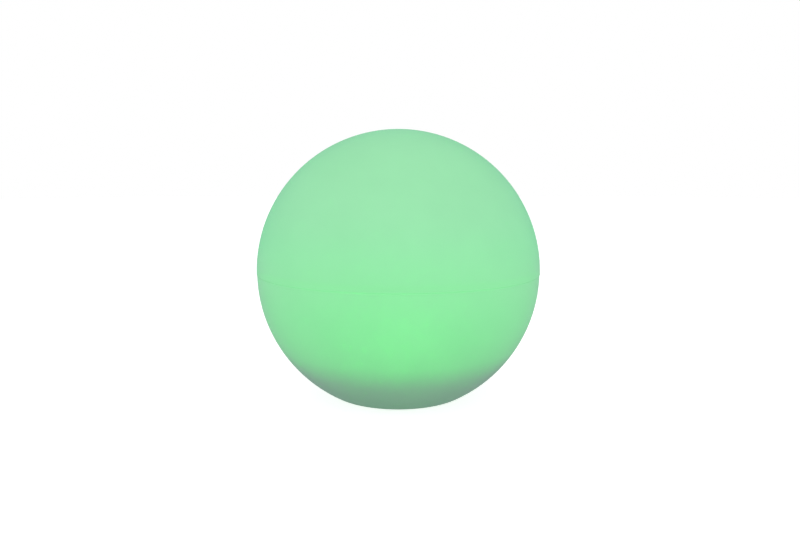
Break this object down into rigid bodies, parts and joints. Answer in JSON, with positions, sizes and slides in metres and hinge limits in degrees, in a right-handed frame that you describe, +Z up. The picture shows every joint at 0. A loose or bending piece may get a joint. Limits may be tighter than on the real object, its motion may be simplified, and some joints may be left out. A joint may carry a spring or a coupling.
{
  "type": "cordless ball table lamp",
  "caption": "Cordless ball-shaped table lamp with a translucent glowing globe on a flat base and a twist-out rechargeable light module.",
  "frame": {"origin": "middle of the flat ring that the ball stands on, in the plane of the table", "axes": "+Z up through the top of the ball; -Y is the side towards the viewer in the picture"},
  "size_m": [0.25, 0.25, 0.235],
  "materials": {
    "globe_skin": "satin translucent polyethylene, lit green from inside",
    "white_plastic": "fine moulded texture",
    "cover_plastic": "spark-eroded matt",
    "grey_silicone": "matt",
    "button_rubber": "matt",
    "steel": "zinc plated",
    "aluminium": "milled",
    "white_board": "white solder mask",
    "led_body": "glossy",
    "frosted_lens": "frosted",
    "cell_wrap": "shrink sleeve",
    "nickel": "bright",
    "green_board": "solder mask",
    "foam": "open cell",
    "black_plastic": "matt",
    "ivory_plastic": "satin",
    "wire_sleeve": "satin",
    "clear_pipe": "clear"
  },
  "bodies": {
    "globe": {"upper_globe": "globe_skin", "lower_globe": "globe_skin", "bayonet_ring": "white_plastic", "ring_screws": "steel"},
    "light_module": {"module_housing": "white_plastic", "battery_clamp": "white_plastic", "base_cover": "cover_plastic", "module_seal": "grey_silicone", "cover_gasket": "grey_silicone", "lens_gasket": "grey_silicone", "cover_screws": "steel", "led_board_screws": "steel", "lens_screws": "steel", "clamp_screws": "steel", "board_screws": "steel", "charge_socket": "steel", "heat_spreader": "aluminium", "led_board": "white_board", "led_packages": "led_body", "lens_dome": "frosted_lens", "battery_cells": "cell_wrap", "battery_tabs": "nickel", "control_board": "green_board", "protection_board": "green_board", "battery_pad": "foam", "board_parts": "black_plastic", "tact_switch": "black_plastic", "socket_tongue": "black_plastic", "wire_headers": "ivory_plastic", "led_lead": "wire_sleeve", "battery_lead": "wire_sleeve", "charge_light_pipe": "clear_pipe"},
    "button": {"power_button": "button_rubber", "switch_stem": "black_plastic"},
    "door": {"port_door": "cover_plastic", "port_seal": "grey_silicone"}
  },
  "joints": [
    {"name": "module_twist", "type": "hinge", "parent": "globe", "child": "light_module", "pos_m": [0, 0, 0.0136], "axis": [0, 0, -1], "range_deg": [0, 45]},
    {"name": "button_press", "type": "slide", "parent": "light_module", "child": "button", "axis": [0, 0, 1], "range_m": [0, 0.0006], "stiffness_N_per_m": 4000},
    {"name": "port_door_hinge", "type": "hinge", "parent": "light_module", "child": "door", "pos_m": [0, -0.0206, 0.0024], "axis": [-1, 0, 0], "range_deg": [0, 100]}
  ]
}
